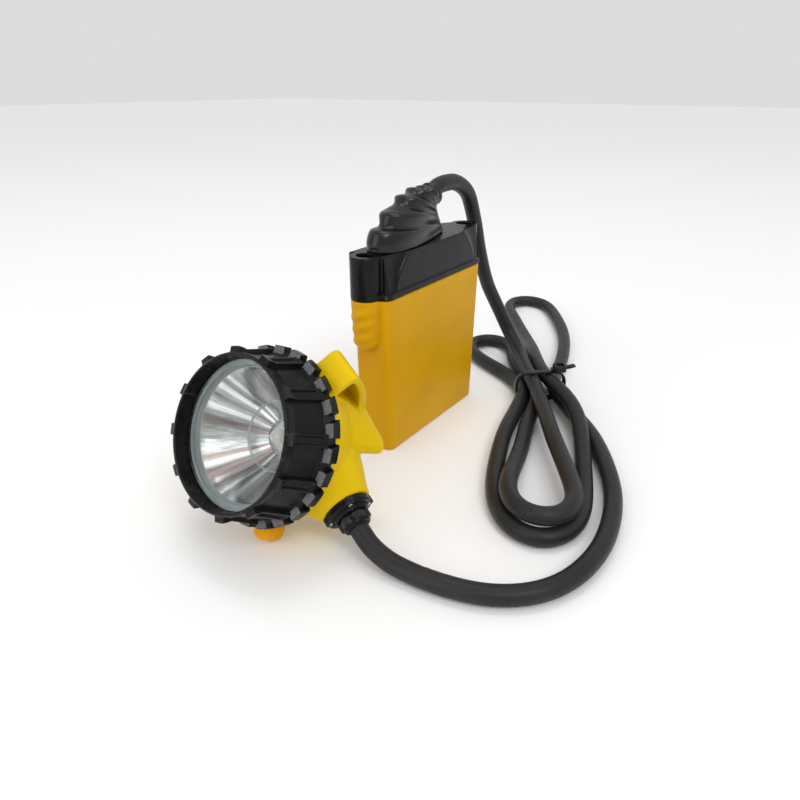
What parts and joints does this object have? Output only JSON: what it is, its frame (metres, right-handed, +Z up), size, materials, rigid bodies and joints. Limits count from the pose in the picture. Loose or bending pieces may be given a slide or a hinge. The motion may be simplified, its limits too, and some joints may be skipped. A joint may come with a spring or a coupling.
{
  "type": "miner's cap lamp",
  "caption": "Corded miner's cap lamp: ribbed headpiece with a helmet hook and a rotary switch, a belt battery with a rubber boot, and the cable between them.",
  "frame": {"origin": "on the ground, under the middle of the box round the battery and the headpiece together, without the cable", "axes": "+Z up, +X along the battery's wide face away from the headpiece, -Y out of the battery's wide front face"},
  "size_m": [0.4093, 0.191, 0.14],
  "materials": {
    "yellow": "satin",
    "black": "satin",
    "rubber": "satin",
    "cable": "satin",
    "glass": "clear",
    "mirror": "polished",
    "steel": "satin",
    "nickel": "satin",
    "brass": "satin",
    "aluminium": "satin",
    "board": "satin",
    "wrap": "gloss",
    "plastic": "matte",
    "ceramic": "satin",
    "foam": "matte",
    "red": "satin"
  },
  "bodies": {
    "lamp": {"battery_case": "yellow", "battery_lid": "black", "lid_gasket": "rubber", "lid_screw_near": "steel", "screw_insert_near": "brass", "lid_screw_far": "steel", "screw_insert_far": "brass", "cell_1": "wrap", "cell_2": "wrap", "cell_3": "wrap", "cell_4": "wrap", "cell_tray": "plastic", "cell_strap": "nickel", "protection_board": "board", "foam_pad": "foam", "cable_boot": "rubber", "boot_stem": "black", "boot_nut": "black", "lead_positive": "red", "lead_negative": "rubber", "bezel_seal": "rubber", "reflector": "mirror", "led_emitter": "ceramic", "led_board": "aluminium", "heat_sink": "aluminium", "driver_board": "board", "head_wire_negative": "rubber", "head_wire_positive": "red", "head_housing": "yellow", "helmet_hook": "yellow", "switch_body": "black", "gland_flange": "black", "flange_screw_1": "steel", "flange_screw_2": "steel", "flange_screw_3": "steel", "flange_screw_4": "steel", "gland_nut": "black", "gland_bush": "rubber", "cable_front": "cable", "cable_back": "cable", "cable_bundle": "cable", "cable_tie": "black"},
    "knob": {"switch_knob": "yellow", "knob_shaft": "steel"},
    "front_glass": {"lens": "glass", "lens_gasket": "rubber"},
    "bezel": {"bezel_ring": "black"}
  },
  "joints": [
    {"name": "knob_turn", "type": "hinge", "parent": "lamp", "child": "knob", "pos_m": [-0.06487, 0.0035, 0.04326], "axis": [-0.4617, -0.1446, -0.8752], "range_deg": [0, 90]},
    {"name": "bezel_advance", "type": "slide", "parent": "lamp", "child": "front_glass", "axis": [-0.8864, 0.0396, 0.4611], "range_m": [0, 0.004]},
    {"name": "bezel_turn", "type": "hinge", "parent": "front_glass", "child": "bezel", "pos_m": [-0.07205, 0.00382, 0.047], "axis": [-0.8864, 0.0396, 0.4611], "range_deg": [0, 720]}
  ],
  "couplings": [
    {"joint": "bezel_advance", "follows": "bezel_turn", "m_per_rad": 0.00031831}
  ]
}
